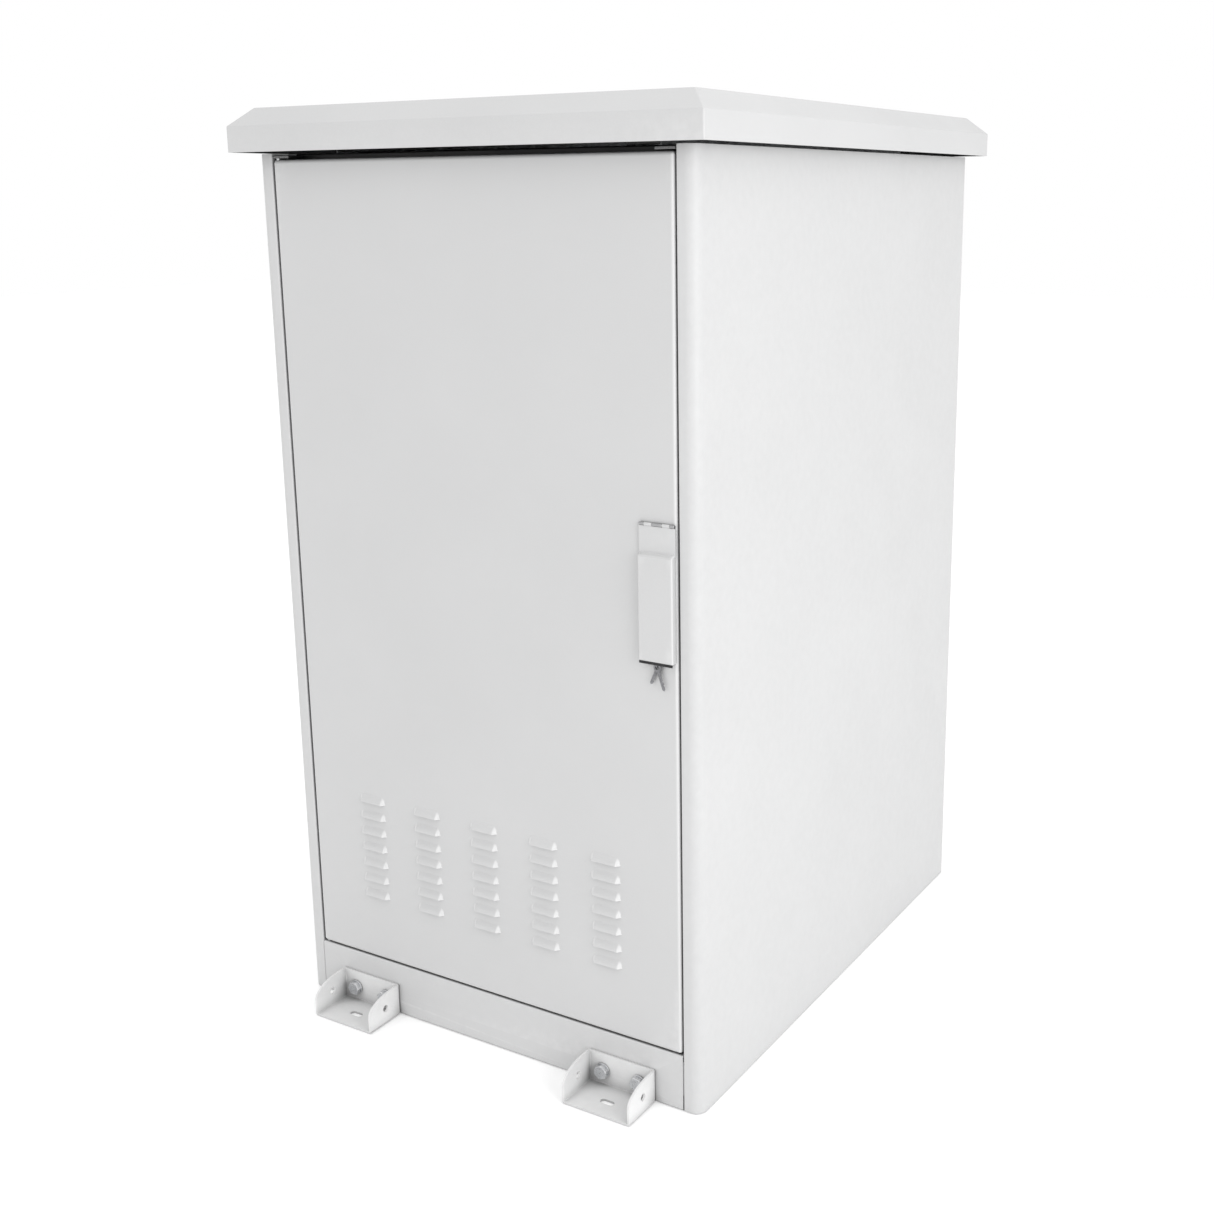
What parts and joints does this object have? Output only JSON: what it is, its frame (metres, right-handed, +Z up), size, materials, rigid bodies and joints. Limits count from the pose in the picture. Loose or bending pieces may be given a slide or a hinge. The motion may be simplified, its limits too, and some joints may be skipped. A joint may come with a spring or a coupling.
{
  "type": "outdoor battery cabinet",
  "caption": "Outdoor sheet-steel battery cabinet with a louvred lockable door, overhanging roof canopy, inner shelves, exhaust fan and floor anchor brackets.",
  "frame": {"origin": "middle of the footprint, on the floor", "axes": "+Z up, +X to the right seen from the front, +Y from the door towards the back"},
  "size_m": [0.7, 0.924, 1.22],
  "materials": {
    "powder_coat": "satin light grey powder coat with a fine texture",
    "galvanised_sheet": "galvanised sheet steel",
    "zinc_fastener": "bright zinc plate",
    "zinc_fitting": "zinc-plated and die-cast fittings",
    "key_steel": "dark plated steel",
    "seal_rubber": "foamed sealing strip",
    "filter_foam": "open-cell dust filter",
    "black_plastic": "matt moulded plastic",
    "grey_plastic": "matt moulded plastic",
    "copper_bar": "bare copper"
  },
  "bodies": {
    "cabinet": {"anchor_bracket_front_left": "powder_coat", "anchor_bracket_front_right": "powder_coat", "anchor_bracket_rear_left": "powder_coat", "anchor_bracket_rear_right": "powder_coat", "back_panel": "powder_coat", "battery_shelf_lower": "galvanised_sheet", "battery_shelf_middle": "galvanised_sheet", "battery_shelf_upper": "galvanised_sheet", "bracket_bolt_front_left_a": "zinc_fastener", "bracket_bolt_front_left_b": "zinc_fastener", "bracket_bolt_front_right_a": "zinc_fastener", "bracket_bolt_front_right_b": "zinc_fastener", "bracket_bolt_rear_left_a": "zinc_fastener", "bracket_bolt_rear_left_b": "zinc_fastener", "bracket_bolt_rear_right_a": "zinc_fastener", "bracket_bolt_rear_right_b": "zinc_fastener", "breaker_panel": "powder_coat", "cable_gland_left": "black_plastic", "cable_gland_right": "black_plastic", "ceiling_plate": "galvanised_sheet", "dc_breaker": "grey_plastic", "door_lintel": "powder_coat", "door_sill": "powder_coat", "earth_bar": "copper_bar", "fan_frame": "black_plastic", "fan_guard": "galvanised_sheet", "floor_tray": "galvanised_sheet", "left_side_panel": "powder_coat", "lower_pivot_bracket": "zinc_fitting", "mounting_post_front_left": "galvanised_sheet", "mounting_post_front_right": "galvanised_sheet", "mounting_post_rear_left": "galvanised_sheet", "mounting_post_rear_right": "galvanised_sheet", "plinth_panel": "powder_coat", "right_side_panel": "powder_coat", "roof_canopy": "powder_coat", "roof_rail_left": "galvanised_sheet", "roof_rail_right": "galvanised_sheet"},
    "fan": {"fan_rotor": "black_plastic"},
    "toggle": {"breaker_toggle": "black_plastic"},
    "door": {"door_panel": "powder_coat", "door_stiffener": "powder_coat", "door_gasket": "seal_rubber", "dust_filter": "filter_foam", "filter_frame": "black_plastic", "upper_pivot_pin": "zinc_fitting", "lock_housing": "zinc_fitting", "rod_guide_upper": "black_plastic", "rod_guide_lower": "black_plastic", "key_staple": "zinc_fitting", "flap_hinge": "zinc_fitting"},
    "flap": {"lock_flap": "powder_coat"},
    "lock": {"lock_rotor": "zinc_fitting", "rod_cam": "zinc_fitting"},
    "upper_rod": {"upper_rod": "zinc_fitting"},
    "lower_rod": {"lower_rod": "zinc_fitting"},
    "keys": {"key_loop": "key_steel", "key_one": "key_steel", "key_two": "key_steel"}
  },
  "joints": [
    {"name": "door_hinge", "type": "hinge", "parent": "cabinet", "child": "door", "pos_m": [-0.2925, -0.395, 0.6], "axis": [0, 0, -1], "range_deg": [0, 105]},
    {"name": "flap_lift", "type": "hinge", "parent": "door", "child": "flap", "pos_m": [0.272, -0.4025, 0.743], "axis": [-1, 0, 0], "range_deg": [0, 110]},
    {"name": "lock_turn", "type": "hinge", "parent": "door", "child": "lock", "pos_m": [0.272, -0.4, 0.65], "axis": [0, -1, 0], "range_deg": [0, 90]},
    {"name": "upper_rod_slide", "type": "slide", "parent": "door", "child": "upper_rod", "axis": [0, 0, 1], "range_m": [0, 0.0198]},
    {"name": "lower_rod_slide", "type": "slide", "parent": "door", "child": "lower_rod", "axis": [0, 0, -1], "range_m": [0, 0.0198]},
    {"name": "keys_swing", "type": "hinge", "parent": "door", "child": "keys", "pos_m": [0.272, -0.4044, 0.6], "axis": [0, -1, 0], "range_deg": [-12, 12]},
    {"name": "fan_spin", "type": "hinge", "parent": "cabinet", "child": "fan", "pos_m": [0, 0.15, 1.15], "axis": [0, 0, 1], "continuous": true},
    {"name": "toggle_tip", "type": "hinge", "parent": "cabinet", "child": "toggle", "pos_m": [0, -0.345, 1.095], "axis": [-1, 0, 0], "range_deg": [0, 50]}
  ],
  "couplings": [
    {"joint": "lock_turn", "follows": "upper_rod_slide", "rad_per_m": 79.33},
    {"joint": "lower_rod_slide", "follows": "upper_rod_slide", "ratio": 1}
  ]
}
